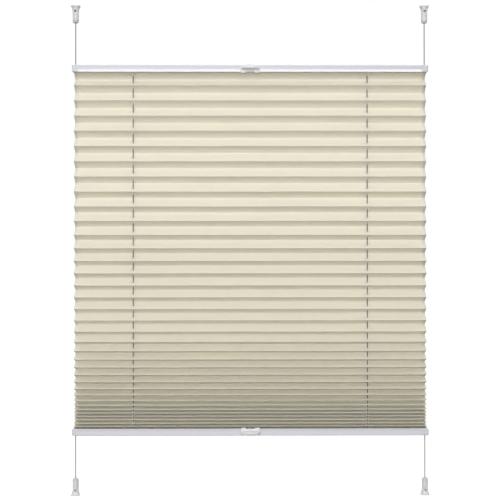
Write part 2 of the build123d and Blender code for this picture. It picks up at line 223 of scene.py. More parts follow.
class BlindStudio(bpy.types.PropertyGroup):
    """Camera and light."""

    distance: bpy.props.FloatProperty(
        name="Camera distance", description="From the camera to the plane of the cords",
        default=1.8, min=0.5, max=6, unit="LENGTH",
    )
    lens: bpy.props.FloatProperty(
        name="Lens", description="Focal length of the camera in millimetres",
        default=76.605, min=10, max=300,
    )
    room: bpy.props.FloatProperty(
        name="Room light", description="Brightness of the white room round the blind",
        default=1.0, min=0, max=5,
    )
    top_light: bpy.props.FloatProperty(
        name="Top light", description="Brightness added to the room above the blind",
        default=0.8, min=0, max=5,
    )
    low_light: bpy.props.FloatProperty(
        name="Low light", description="Share of the room light that comes from below",
        default=0.4, min=0, max=1, subtype="FACTOR",
    )
    front_light: bpy.props.FloatProperty(
        name="Front light", description="Brightness of the room in front of the blind",
        default=0.28, min=0, max=5,
    )
    key: bpy.props.FloatProperty(
        name="Key light", description="Power of the large soft light above the camera",
        default=132, min=0, max=1000, unit="POWER",
    )
    strip: bpy.props.FloatProperty(
        name="Strip light", description="Power of the narrow light that the rails' lips reflect",
        default=36, min=0, max=500, unit="POWER",
    )


class BlindSettings(bpy.types.PropertyGroup):
    """Everything that a user would change."""

    cloth: bpy.props.PointerProperty(type=BlindCloth)
    hardware: bpy.props.PointerProperty(type=BlindHardware)
    studio: bpy.props.PointerProperty(type=BlindStudio)


# ---------------------------------------------------------------- materials
class Value:
    """A number that varies over a surface. Sums and products of it add Math nodes."""

    def __init__(self, finish, socket):
        self.finish = finish
        self.socket = socket

    def maths(self, operation, first, second):
        return self.finish.add("ShaderNodeMath", {"operation": operation}, {0: first, 1: second}).out(0)

    def __add__(self, other):
        return self.maths("ADD", self, other)

    def __sub__(self, other):
        return self.maths("SUBTRACT", self, other)

    def __rsub__(self, other):
        return self.maths("SUBTRACT", other, self)

    def __mul__(self, other):
        return self.maths("MULTIPLY", self, other)

    def sine(self):
        return self.finish.add("ShaderNodeMath", {"operation": "SINE"}, {0: self}).out(0)

    __radd__ = __add__
    __rmul__ = __mul__


class Made:
    """A node that was added; out() wraps one of its outputs."""

    def __init__(self, finish, node):
        self.finish = finish
        self.node = node

    def out(self, key):
        return Value(self.finish, self.node.outputs[key])


class Finish:
    """One material and the nodes that make it."""

    def __init__(self, name):
        self.material = bpy.data.materials.new(name)
        self.material.use_nodes = True
        self.tree = self.material.node_tree
        self.tree.nodes.clear()
        self.place = self.add("ShaderNodeTexCoord").out("Object")

    def add(self, kind, settings=None, sockets=None):
        """Adds a node: its settings first, then the values or links of its sockets."""
        node = self.tree.nodes.new(kind)
        for name, value in (settings or {}).items():
            setattr(node, name, value)
        for key, value in (sockets or {}).items():
            if isinstance(value, Value):
                self.tree.links.new(value.socket, node.inputs[key])
            else:
                node.inputs[key].default_value = value
        return Made(self, node)

    def attribute(self, name):
        """A number that the mesh carries at each of its points."""
        return self.add("ShaderNodeAttribute", {"attribute_name": name}).out("Fac")

    def noise(self, scale, detail=2, roughness=0.5, stretch=(1, 1, 1), place=None):
        """Noise with a grain of 1/scale metres, drawn out along the axes by stretch."""
        spot = self.add(
            "ShaderNodeVectorMath", {"operation": "MULTIPLY"},
            {0: place or self.place, 1: tuple(scale / s for s in stretch)},
        ).out(0)
        sockets = {"Vector": spot, "Scale": 1.0, "Detail": detail, "Roughness": roughness}
        return self.add("ShaderNodeTexNoise", {"noise_dimensions": "3D"}, sockets).out("Fac")

    def remap(self, value, low, high, to_low=0.0, to_high=1.0):
        """Maps low..high to to_low..to_high and stays inside it."""
        sockets = {"Value": value, "From Min": low, "From Max": high, "To Min": to_low, "To Max": to_high}
        return self.add("ShaderNodeMapRange", {"clamp": True}, sockets).out("Result")

    def mix(self, share, first, second, blend="MIX"):
        """Mixes two colours."""
        settings = {"data_type": "RGBA", "blend_type": blend}
        sockets = {0: share, 6: colour_value(first), 7: colour_value(second)}
        return self.add("ShaderNodeMix", settings, sockets).out(2)

    def bump(self, height, distance, strength=1.0, normal=None):
        """Bends the normal by a height field, distance metres high."""
        sockets = {"Height": height, "Distance": distance, "Strength": strength}
        if normal is not None:
            sockets["Normal"] = normal
        return self.add("ShaderNodeBump", None, sockets).out("Normal")

    def shader(self, **sockets):
        """The main shader; constants go straight on its sockets."""
        names = {key.replace("_", " "): value for key, value in sockets.items()}
        return self.add("ShaderNodeBsdfPrincipled", None, names).out("BSDF")

    def show(self, shader):
        """Makes a shader the material's surface."""
        self.add("ShaderNodeOutputMaterial", None, {"Surface": shader})
        return self.material

    def surface(self, **sockets):
        """A material of the main shader alone."""
        return self.show(self.shader(**sockets))


def colour_value(colour):
    """A colour as four numbers, or the link that carries one."""
    return colour if isinstance(colour, Value) else (*tuple(colour)[:3], 1.0)


def darker(colour, share):
    """The same colour, darkened."""
    return tuple(channel * share for channel in tuple(colour)[:3])


def tinted(colour, tint):
    """The same colour seen through a tint."""
    return tuple(channel * share for channel, share in zip(tuple(colour)[:3], tint))


def cloth_material(cloth):
    """Cream crepe weave: slubby weft yarns, fine warp, a painted highlight along the folds, painted shade in
    the weave's pits and under shut pleats.
    """
    finish = Finish("cream_pleated_cloth")
    flat = finish.add("ShaderNodeUVMap", {"uv_map": "cloth"}).out("UV")
    crease, tucked = finish.attribute("crease"), finish.attribute("tucked")
    parts = finish.add("ShaderNodeSeparateXYZ", None, {0: flat})
    across, along = parts.out("X"), parts.out("Y")
    turn = 2 * math.pi / cloth.yarn
    weave_wander = finish.noise(1 / (6 * cloth.yarn), 3, 0.6, (3, 1, 1), flat)
    weave = (across * turn + weave_wander * 2.0).sine() * (along * turn + weave_wander * 3.0).sine()
    slub = finish.noise(1 / (0.9 * MM), 3, 0.6, (14, 1, 1), flat)
    cloud = finish.noise(1 / (45 * MM), 2, 0.5, (2.5, 1, 1), flat)
    yarn_tone = finish.remap(slub, 0.38, 0.68)
    base = finish.mix(yarn_tone * 0.4 + 0.1, cloth.colour, cloth.shade)
    base = finish.mix(finish.remap(cloud, 0.3, 0.7, 0.0, 0.22), base, darker(cloth.colour, 0.9))
    # Painted shade: the pits of the weave between the yarns are darkened.
    pit_shade = finish.remap(weave, -1.0, -0.3, 0.28, 0.0)
    base = finish.mix(pit_shade, base, darker(cloth.shade, 0.72))
    # Painted shade: the undersides of shut pleats and the tab ends, marked by tucked, are darkened and
    # warmed.
    base = finish.mix(tucked * cloth.painted_pleat_shade, base, tinted(cloth.shade, (0.46, 0.45, 0.34)))
    # Painted highlight: the cloth is painted paler along the folds, where the fold lines catch the light.
    fold_highlight = finish.remap(crease, 0.55, 1.0, 0.0, 0.35)
    base = finish.mix(fold_highlight, base, (0.90, 0.88, 0.81))
    height = weave * 0.5 + slub * 0.6
    normal = finish.bump(height, 0.12 * MM, 0.55)
    rough = finish.remap(slub, 0.3, 0.7, 0.78, 0.92)
    weave_shader = finish.shader(
        Base_Color=base, Roughness=rough, Normal=normal, Sheen_Weight=0.12,
        Sheen_Roughness=0.5, Specular_IOR_Level=0.25,
    )
    through = finish.add("ShaderNodeBsdfTranslucent", None, {"Color": base, "Normal": normal}).out("BSDF")
    shares = {0: cloth.translucency, 1: weave_shader, 2: through}
    return finish.show(finish.add("ShaderNodeMixShader", None, shares).out(0))


def lacquer_material(hardware):
    """Powder-coated aluminium: orange peel, faint extrusion lines, light scuffs."""
    finish = Finish("white_lacquered_aluminium")
    peel = finish.noise(1 / (1.6 * MM), 3, 0.55)
    drawn = finish.noise(1 / (0.5 * MM), 2, 0.6, (260, 1, 1))
    cloud = finish.noise(1 / (60 * MM), 2, 0.5, (3, 1, 1))
    scuff = finish.remap(finish.noise(1 / (3.5 * MM), 4, 0.7, (9, 1, 1)), 0.66, 0.78)
    base = finish.mix(finish.remap(cloud, 0.3, 0.7, 0.0, 0.35), hardware.rail, darker(hardware.rail, 0.95))
    base = finish.mix(scuff * 0.25, base, darker(hardware.rail, 0.86))
    rough = finish.remap(peel, 0.3, 0.7, 0.15, 0.21) + scuff * 0.15
    normal = finish.bump(peel * 0.7 + drawn * 0.3, 0.05 * MM, 0.35)
    return finish.surface(
        Base_Color=base, Roughness=rough, Normal=normal, Coat_Weight=0.15, Coat_Roughness=0.2,
    )


def moulded_material(name, colour, grain, rough, glow=0.0, alpha=1.0):
    """Injection-moulded plastic: fine spark-eroded grain, flow marks, rubbed spots."""
    finish = Finish(name)
    eroded = finish.noise(1 / grain, 3, 0.6)
    flow = finish.noise(1 / (7 * MM), 3, 0.55, (1, 1, 2.2))
    rubbed = finish.remap(finish.noise(1 / (2.2 * MM), 3, 0.6), 0.6, 0.75)
    base = finish.mix(finish.remap(flow, 0.3, 0.7, 0.0, 0.5), colour, darker(colour, 0.9))
    base = finish.mix(rubbed * 0.2, base, darker(colour, 1.12))
    gloss = finish.remap(eroded, 0.3, 0.7, rough - 0.05, rough + 0.07) - rubbed * 0.06
    normal = finish.bump(eroded, 0.04 * MM, 0.4)
    return finish.surface(
        Base_Color=base, Roughness=gloss, Normal=normal, Alpha=alpha, IOR=1.49,
        Subsurface_Weight=glow, Subsurface_Radius=(1.0, 1.0, 1.0), Subsurface_Scale=2 * MM,
    )


def clear_material(hardware):
    """Clear plastic of the grips: slightly milky, with flow lines and rub marks."""
    finish = Finish("clear_grip_plastic")
    flow = finish.noise(1 / (4 * MM), 3, 0.6, (1.6, 1, 1))
    rubbed = finish.remap(finish.noise(1 / (1.1 * MM), 3, 0.65), 0.58, 0.74)
    base = finish.mix(finish.remap(flow, 0.3, 0.7), hardware.grip, darker(hardware.grip, 0.88))
    rough = finish.remap(flow, 0.3, 0.7, 0.16, 0.24) + rubbed * 0.12
    normal = finish.bump(flow, 0.12 * MM, 0.4)
    return finish.surface(
        Base_Color=base, Roughness=rough, Normal=normal, Alpha=0.6, IOR=1.49, Coat_Weight=0.3,
    )


def cord_material(hardware):
    """Laid polyester cord: filaments along the strands, with painted shade between them."""
    finish = Finish("grey_polyester_cord")
    groove = finish.attribute("groove")
    fibre = finish.noise(1 / (0.22 * MM), 2, 0.6, (1, 1, 6))
    # Painted shade: the grooves between the strands are darkened.
    base = finish.mix(finish.remap(groove, 0.35, 1.0, 0.0, 0.6), hardware.cord, darker(hardware.cord, 0.55))
    base = finish.mix(finish.remap(fibre, 0.35, 0.65, 0.0, 0.3), base, darker(hardware.cord, 1.25))
    normal = finish.bump(fibre, 0.06 * MM, 0.5)
    rough = finish.remap(fibre, 0.3, 0.7, 0.55, 0.75)
    return finish.surface(Base_Color=base, Roughness=rough, Normal=normal, Sheen_Weight=0.1)


def spring_material():
    """Bright drawn spring steel."""
    finish = Finish("drawn_spring_steel")
    drawn = finish.noise(1 / (0.15 * MM), 3, 0.6, (1, 8, 8))
    stain = finish.remap(finish.noise(1 / (5 * MM), 3, 0.6), 0.55, 0.75)
    base = finish.mix(stain * 0.5, (0.56, 0.56, 0.57), (0.40, 0.38, 0.36))
    rough = finish.remap(drawn, 0.3, 0.7, 0.22, 0.38) + stain * 0.1
    normal = finish.bump(drawn, 0.02 * MM, 0.3)
    return finish.surface(Base_Color=base, Roughness=rough, Normal=normal, Metallic=1.0)


# ---------------------------------------------------------------- meshes
def add_object(name, mesh):
    """Puts a new mesh into the scene."""
    piece = bpy.data.objects.new(name, mesh)
    bpy.context.scene.collection.objects.link(piece)
    return piece


def grid_faces(rows, columns, closed=False):
    """Quads of a grid of rows by columns, closed round the columns or not."""
    last = columns if closed else columns - 1
    row, column = np.meshgrid(np.arange(rows - 1), np.arange(last), indexing="ij")
    after = (column + 1) % columns
    start, below = row * columns, (row + 1) * columns
    return np.stack([start + column, start + after, below + after, below + column], -1).reshape(-1, 4)


def dress(node, material):
    """Gives a carried-over CAD node its material on every slot."""
    mesh_slots = NODES[node].material_slots
    for mesh_slot in mesh_slots:
        mesh_slot.link = "OBJECT"
        mesh_slot.material = material
    if not mesh_slots:
        NODES[node].data.materials.append(material)


def skin_sections(name, sections, material, sharp):
    """A solid through a row of closed sections, smooth up to edges of sharp degrees."""
    count, corners = len(sections), len(sections[0])
    mesh = bpy.data.meshes.new(name)
    places = np.array(sections).reshape(-1, 3)
    mesh.from_pydata(places, [], grid_faces(count, corners, closed=True).tolist())
    shape = bmesh.new()
    shape.from_mesh(mesh)
    shape.verts.ensure_lookup_table()
    for start in (0, corners * (count - 1)):
        end = shape.faces.new([shape.verts[start + i] for i in range(corners)])
        bmesh.ops.triangulate(shape, faces=[end])
    bmesh.ops.recalc_face_normals(shape, faces=shape.faces)
    shape.to_mesh(mesh)
    shape.free()
    mesh.materials.append(material)
    mesh.shade_smooth()
    mesh.set_sharp_from_angle(angle=math.radians(sharp))
    return add_object(name, mesh)


def follow_evenly(piece, start, end):
    """Works out each point's share of the height from start to end; the share is not kept or used."""
    heights = np.array([v.co.z for v in piece.data.vertices])
    share = np.clip((heights - start) / (end - start), 0, 1)


def bowed_face(start, end, bow, radius, first_is_front):
    """Points of one pleat face, start to end, bowed so that the back fold hangs rounder."""
    length = np.hypot(*(end - start))
    near = min(radius / length, 0.12)
    beside = near + 0.04
    shares = np.array([near, beside, 0.25, 0.5, 0.75, 1 - beside, 1 - near])
    if first_is_front:
        depth = 1 - (1 - shares) ** bow
    else:
        depth = shares**bow
    y = start[0] + (end[0] - start[0]) * depth
    z = start[1] + (end[1] - start[1]) * shares
    return np.stack([y, z], -1)


def closeness(corners, i):
    """How tightly the pleat below corner i is shut: 0 for an open one, 1 for a pitch under 9 mm."""
    pitch = abs(corners[i][1] - corners[min(i + 2, len(corners) - 1)][1])
    return float(np.clip((OPEN_PITCH - pitch) / (8 * MM), 0, 1))


def cloth_section(cloth, corners):
    """The section from tab to tab with rounded folds; how near a fold each point is, which sets the painted
    highlight along the folds, and how tucked away it is, which sets the painted shade.
    """
    # tucked masks the painted shade: 1 at the tab ends, rising on down-facing faces the tighter the pleat is
    # shut, 0 on up-facing faces.
    points, crease, tucked, folds = [corners[0]], [0.0], [1.0], []
    for i in range(1, len(corners)):
        start, end = corners[i - 1], corners[i]
        first_is_front = start[0] < end[0]
        bow = cloth.bow if 1 < i < len(corners) - 1 else 1.0
        face = bowed_face(start, end, bow, cloth.fold_radius, first_is_front)
        points += list(face)
        crease += [0.7, 0.3, 0.0, 0.0, 0.0, 0.3, 0.7]
        tucked += [0.12 + 0.88 * closeness(corners, i) if first_is_front else 0.0] * len(face)
        folds.append(len(points))
        if i < len(corners) - 1:
            points.append(None)
            crease.append(1.0)
            tucked.append(0.0)
    points.append(corners[-1])
    crease.append(0.0)
    tucked.append(1.0)
    for i, corner in zip(folds, corners[1:-1]):
        points[i] = 0.5 * corner + 0.25 * (points[i - 1] + points[i + 1])
    return np.array(points), np.stack([crease, tucked]), folds[:-1]


def ripple_field(x, row_share, amplitude, seed):
    """A slow wander along a fold, different from fold to fold but alike in neighbours."""
    generator = np.random.default_rng(seed)
    total = np.zeros_like(x)
    for _ in range(7):
        wave = generator.uniform(0.09, 0.42)
        phase, drift = generator.uniform(0, 2 * math.pi), generator.uniform(-9, 9)
        total += np.sin(2 * math.pi * x / wave + phase + drift * row_share) * generator.uniform(0.3, 1)
    return amplitude * total / 2.2


class BLIND_OT_cloth(bpy.types.Operator):
    """Folds the cloth in two halves, split at a back fold near the middle"""

    bl_idname = "blind.cloth"
    bl_label = "Pleated cloth"

    def execute(self, context):
        cloth = context.scene.blind.cloth
        material = cloth_material(cloth)
        top, bottom = CLOTH_TOP - cloth.thickness / 2, CLOTH_BOTTOM + cloth.thickness / 2
        corners = [np.array([HALF_TAB, top]), np.array([-HALF_TAB, top]), *FOLDS]
        corners += [np.array([HALF_TAB, bottom]), np.array([-HALF_TAB, bottom])]
        points, marks, folds = cloth_section(cloth, corners)
        centre = (UPPER_UNDERSIDE + LOWER_TOP) / 2
        backs = [i for i in folds if points[i][0] > 4 * MM]
        split = min(backs, key=lambda i: abs(points[i][1] - centre))
        split_height = points[split][1]
        travelled = np.concatenate([[0], np.cumsum(np.hypot(*np.diff(points, axis=0).T))])
        columns = np.linspace(-CLOTH_HALF_WIDTH, CLOTH_HALF_WIDTH, 73)
        halves = (
            ("upper", slice(0, split + 1), (UPPER_BODY, ROOT), (CLOTH_TOP, split_height)),
            ("lower", slice(split, len(points)), (ROOT, LOWER_BODY), (split_height, CLOTH_BOTTOM)),
        )
        for level, rows, bodies, ends in halves:
            name = f"{level}_pleated_cloth"
            part, lengths = points[rows], travelled[rows]
            x = np.tile(columns, (len(part), 1))
            share = np.tile((part[:, 1] / RIPPLE_SPAN)[:, None], (1, len(columns)))
            depth = np.tile(part[:, :1], (1, len(columns)))
            to_strip = np.minimum(CLOTH_TOP - part[:, 1], part[:, 1] - CLOTH_BOTTOM)
            free = np.clip(to_strip / (20 * MM), 0, 1)[:, None]
            y = depth + free * ripple_field(x, share * 6, cloth.ripple, 11)
            z = part[:, 1:] + free * ripple_field(x, share * 4, cloth.ripple * 0.8, 23)
            mesh = bpy.data.meshes.new(name)
            places = np.stack([x, y, z], -1).reshape(-1, 3)
            mesh.from_pydata(places, [], grid_faces(len(part), len(columns)).tolist())
            uv = mesh.uv_layers.new(name="cloth")
            corner_vertices = np.zeros(len(mesh.loops), int)
            mesh.loops.foreach_get("vertex_index", corner_vertices)
            flat = np.stack([x, np.tile(lengths[:, None], (1, len(columns)))], -1).reshape(-1, 2)
            uv.data.foreach_set("uv", flat[corner_vertices].astype(np.float32).ravel())
            for mark, values in zip(("crease", "tucked"), marks[:, rows]):
                attribute = mesh.attributes.new(mark, "FLOAT", "POINT")
                attribute.data.foreach_set("value", np.repeat(values, len(columns)).astype(np.float32))
            piece = add_object(name, mesh)
            mesh.materials.append(material)
            thicken = piece.modifiers.new("thickness", "SOLIDIFY")
            thicken.thickness = cloth.thickness
            thicken.offset = 0
            for _, hand in SIDES:
                punch = self.punch(hand * INNER_CORD_X, cloth.hole / 2)
                cut = piece.modifiers.new("punched_holes", "BOOLEAN")
                cut.object, cut.operation, cut.solver = punch, "DIFFERENCE", "MANIFOLD"
                self.apply(piece)
                bpy.data.objects.remove(punch, do_unlink=True)
            piece.data.shade_smooth()
            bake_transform(piece)
            follow_evenly(piece, *ends)
            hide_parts("pleated_fabric")
            cut_size = (2 * CLOTH_HALF_WIDTH, float(lengths[-1] - lengths[0]))
        return {"FINISHED"}

    @staticmethod
    def punch(x, radius):
        """A round punch through all pleats."""
        corners = 24
        angles = np.arange(corners) * 2 * math.pi / corners
        ring = np.stack([x + radius * np.cos(angles), radius * np.sin(angles)], -1)
        top, bottom = CLOTH_TOP + 10 * MM, CLOTH_BOTTOM - 10 * MM
        points = np.concatenate([np.c_[ring, np.full(corners, top)], np.c_[ring, np.full(corners, bottom)]])
        faces = grid_faces(2, corners, closed=True)[:, ::-1].tolist()
        faces += [list(range(corners)), list(range(2 * corners - 1, corners - 1, -1))]
        mesh = bpy.data.meshes.new("punch")
        mesh.from_pydata(points, [], faces)
        return add_object("punch", mesh)

    @staticmethod
    def apply(piece):
        """Makes the modifiers' result the piece's own mesh."""
        graph = bpy.context.evaluated_depsgraph_get()
        made = piece.evaluated_get(graph)
        mesh = bpy.data.meshes.new_from_object(made, preserve_all_data_layers=True, depsgraph=graph)
        piece.modifiers.clear()
        piece.data = mesh


class BLIND_OT_cords(bpy.types.Operator):
    """Lays the two tension cords: laid strands where they show, plain runs inside the rails"""

    bl_idname = "blind.cords"
    bl_label = "Tension cords"

    def execute(self, context):
        hardware = context.scene.blind.hardware
        self.material = cord_material(hardware)
        self.hardware = hardware
        knot = 20 * MM  # from a shoe's outer face to the knot inside it
        turn = 2 * MM  # from a level run to the upright length that it meets
        top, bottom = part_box("top_left_shoe")[1].z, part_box("bottom_left_shoe")[0].z
        upper, lower = middle("tension_spring").z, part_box("lower_rail")[0].z + 5 * MM
        centre = (upper + lower) / 2
        for side, hand in SIDES:
            outer, inner = hand * OUTER_CORD_X, hand * INNER_CORD_X
            straights = (
                (f"{side}_cord_above", outer, top - knot, upper + turn, (ROOT, UPPER_BODY), 1),
                (f"{side}_cord_upper_inside", inner, upper - turn, centre, (UPPER_BODY, ROOT), 0),
                (f"{side}_cord_lower_inside", inner, centre, lower + turn, (ROOT, LOWER_BODY), 0),
                (f"{side}_cord_below", outer, lower - turn, bottom + knot, (LOWER_BODY, ROOT), -1),
            )
            for name, x, start, end, bodies, knotted in straights:
                piece = self.straight(name, x, start, end, knotted)
                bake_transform(piece)
                follow_evenly(piece, start, end)
                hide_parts(f"{side}_tension_cord")
            x = [hand * OUTER_CORD_X - hand * d * MM for d in (0, 0, 2, 20, 40, 235, 254, 254, 235)]
            y = [d * MM for d in (0, 0, 0, 0, 4, 4, 4.6, -4.6, -4)]
            z = [upper + turn] + [upper] * 8
            run = list(zip(x, y, z))
            run += [(inner - hand * 32 * MM, -4 * MM, upper), (inner - hand * 12 * MM, 0, upper)]
            run += [(inner - hand * turn, 0, upper), (inner, 0, upper), (inner, 0, upper - turn)]
            self.run(f"{side}_cord_upper_run", run, UPPER_BODY, side)
            run = [(inner, 0, lower + turn), (inner, 0, lower), (inner + hand * turn, 0, lower)]
            run += [(outer - hand * turn, 0, lower), (outer, 0, lower), (outer, 0, lower - turn)]
            self.run(f"{side}_cord_lower_run", run, LOWER_BODY, side)
        return {"FINISHED"}

    def straight(self, name, x, start, end, knotted):
        """A taut length of laid cord, with a stopper knot at one end if knotted."""
        strands, lay = self.hardware.strands, self.hardware.lay
        count = max(8, int(abs(start - end) / CORD_STEP))
        heights = np.linspace(start, end, count)
        around = np.arange(CORD_SIDES) * 2 * math.pi / CORD_SIDES
        angle, height = np.meshgrid(around, heights)
        twist = strands * (angle - 2 * math.pi * height / lay)
        groove = 0.5 - 0.5 * np.cos(twist)
        radius = CORD_RADIUS * (1.0 - 0.22 * groove)
        if knotted:
            knot_at = heights[0] if knotted > 0 else heights[-1]
            swell = np.sqrt(np.clip(1 - ((height - knot_at) / KNOT_HALF_HEIGHT) ** 2, 0, 1))
            radius = radius + swell * KNOT_SWELL * (0.9 + 0.1 * np.sin(2 * angle + 900 * height))
        points = np.stack([x + radius * np.cos(angle), radius * np.sin(angle), height], -1).reshape(-1, 3)
        faces = grid_faces(count, CORD_SIDES, closed=True)[:, ::-1].tolist()
        last = CORD_SIDES * (count - 1)
        faces += [list(range(CORD_SIDES)), list(range(last + CORD_SIDES - 1, last - 1, -1))]
        mesh = bpy.data.meshes.new(name)
        mesh.from_pydata(points, [], faces)
        attribute = mesh.attributes.new("groove", "FLOAT", "POINT")
        attribute.data.foreach_set("value", groove.astype(np.float32).ravel())
        mesh.materials.append(self.material)
        mesh.shade_smooth()
        return add_object(name, mesh)

    def run(self, name, points, body, side):
        """A run inside a rail, round its guides and posts."""
        curve = bpy.data.curves.new(name, "CURVE")
        curve.dimensions = "3D"
        curve.bevel_depth = CORD_RADIUS
        curve.bevel_resolution = 3
        curve.resolution_u = 10
        spline = curve.splines.new("NURBS")
        spline.points.add(len(points) - 1)
        for point, place in zip(spline.points, points):
            point.co = (*place, 1)
        spline.order_u = 3
        spline.use_endpoint_u = True
        curve.materials.append(self.material)
        piece = bpy.data.objects.new(name, curve)
        bpy.context.scene.collection.objects.link(piece)
        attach(piece, body)
        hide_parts(f"{side}_tension_cord")


class BLIND_OT_rails(bpy.types.Operator):
    """Draws the two lacquered rails with their rounded corners, flat fronts and flared lips"""

    bl_idname = "blind.rails"
    bl_label = "Rails"

    def execute(self, context):
        material = lacquer_material(context.scene.blind.hardware)
        for level, body, way in (("upper", UPPER_BODY, -1), ("lower", LOWER_BODY, 1)):
            low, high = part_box(f"{level}_rail")
            face = high.z if way < 0 else low.z
            section = self.section((high.y - low.y) / 2, high.z - low.z)
            columns = np.linspace(low.x, high.x, 59)
            rows = [[(x, y, face + way * w) for y, w in section] for x in columns]
            piece = skin_sections(f"{level}_lacquered_rail", rows, material, sharp=7.1)
            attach(piece, body)
            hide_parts(f"{level}_rail")
        return {"FINISHED"}

    @staticmethod
    def section(half_depth, height):
        """The profile as (y, w), w from the outer face towards the cloth, once round."""
        wall, slot, groove, corner, lip = 1.2 * MM, 7.5 * MM, 0.5 * MM, 1.3 * MM, 4.3 * MM
        hook = height - wall
        quarter = [i * math.pi / 26 for i in range(14)]
        front = half_depth - groove
        outer = [(front - corner + corner * math.sin(a), corner - corner * math.cos(a)) for a in quarter]
        outer += [(front, height - lip), (half_depth - 0.04 * MM, height - 0.75 * MM)]
        outer += [(half_depth, height - 0.5 * MM), (half_depth - 0.1 * MM, height - 0.14 * MM)]
        outer += [(half_depth - 0.4 * MM, height), (slot + 0.25 * MM, height)]
        outer += [(slot, height - 0.25 * MM), (slot, hook + 0.2 * MM), (slot + 0.2 * MM, hook)]
        outer += [(half_depth - wall, hook), (half_depth - wall, wall)]
        return outer + [(-y, w) for y, w in reversed(outer)]


class BLIND_OT_caps(bpy.types.Operator):
    """Finishes the four end caps"""

    bl_idname = "blind.caps"
    bl_label = "End caps"

    def execute(self, context):
        colour = context.scene.blind.hardware.cap
        material = moulded_material("bluish_white_cap_plastic", colour, 0.25 * MM, 0.42, glow=0.1)
        for level in ("upper", "lower"):
            for side, _ in SIDES:
                dress(f"{level}_{side}_end_cap", material)
        return {"FINISHED"}


class BLIND_OT_grips(bpy.types.Operator):
    """Moulds the two clear grips: a plate with two clips and a rounded shelf for the finger"""

    bl_idname = "blind.grips"
    bl_label = "Grips"

    def execute(self, context):
        material = clear_material(context.scene.blind.hardware)
        for level, body, way in (("upper", UPPER_BODY, -1), ("lower", LOWER_BODY, 1)):
            low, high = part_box(f"{level}_rail")
            face = high.z if way < 0 else low.z
            half_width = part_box(f"{level}_handle")[1].x
            reach = low.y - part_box(f"{level}_handle")[0].y
            columns = self.columns(half_width)
            rings = [self.ring(x, half_width, high.z - low.z, reach) for x in columns]
            rows = [[(x, low.y - out, face + way * w) for out, w in ring] for x, ring in zip(columns, rings)]
            piece = skin_sections(f"{level}_moulded_grip", rows, material, sharp=50)
            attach(piece, body)
            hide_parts(f"{level}_handle")
        return {"FINISHED"}

    @staticmethod
    def columns(half_width):
        """Stations across the grip, close together at its ends and at the notch between the clips."""
        swing = np.sin(np.linspace(-0.5, 0.5, 49) * math.pi) * half_width * 0.998
        notch = [side * (NOTCH + step) for side in (-1, 1) for step in (-0.05 * MM, 0.05 * MM)]
        return sorted([*swing, *notch])

    @staticmethod
    def ring(x, half_width, height, reach):
        """The closed section at x as (out, w), out from the rail's front, w from its outer face."""
        share = min(abs(x) / half_width, 1)
        root, clip, plate = 6.6 * MM, 1.9 * MM, 0.9 * MM  # plate is half its thickness
        tip = root * (1 - math.sqrt(1 - share**2))
        end = height + clip if NOTCH < abs(x) < half_width - 1.2 * MM else height - 0.4 * MM
        half = plate * (1 - 0.75 * share**10)
        line = tip + half + (end - tip - 2 * half) * np.linspace(0, 1, 25)
        shelf = np.interp(line / MM, (0, 5.4, 6.2, 8.2, 10.5), (0.72, 1, 0.9, 0.15, 0)) * (1 - share**4)
        centre = np.stack([plate + (reach - plate - 1 * MM) * shelf, line], -1)
        along = np.gradient(centre, axis=0)
        along /= np.hypot(*along.T)[:, None]
        across = np.stack([along[:, 1], -along[:, 0]], -1) * half
        turns = [(half * math.sin(a), math.cos(a)) for a in (0.6, 1.57, 2.54)]
        tip_round = [centre[0] - along[0] * out - across[0] * side for out, side in turns]
        end_round = [centre[-1] + along[-1] * out + across[-1] * side for out, side in turns]
        return [*(centre + across), *end_round, *(centre - across)[::-1], *tip_round]


class BLIND_OT_shoes(bpy.types.Operator):
    """Finishes the four shoes and the cord feet in them"""

    bl_idname = "blind.shoes"
    bl_label = "Shoes and cord feet"

    def execute(self, context):
        hardware = context.scene.blind.hardware
        light = moulded_material("milky_shoe_plastic", hardware.shoe, 0.3 * MM, 0.36, glow=0.35, alpha=0.82)
        dark = moulded_material("grey_foot_plastic", hardware.foot, 0.3 * MM, 0.4, glow=0.15)
        for place in ("top", "bottom"):
            for side, _ in SIDES:
                dress(f"{place}_{side}_shoe", light)
                dress(f"{place}_{side}_cord_foot", dark)
        return {"FINISHED"}


class BLIND_OT_inner_parts(bpy.types.Operator):
    """Finishes what is inside the rails: guides, strips, slides and the spring"""

    bl_idname = "blind.inner_parts"
    bl_label = "Inner parts"

    def execute(self, context):
        colour = context.scene.blind.hardware.inner
        plastic = moulded_material("pale_guide_plastic", colour, 0.35 * MM, 0.45)
        for level in ("upper", "lower"):
            dress(f"{level}_fabric_strip", plastic)
            for side, _ in SIDES:
                dress(f"{level}_{side}_cord_guide", plastic)
        for side, _ in SIDES:
            dress(f"{side}_spring_slide", plastic)
        dress("tension_spring", spring_material())
        return {"FINISHED"}


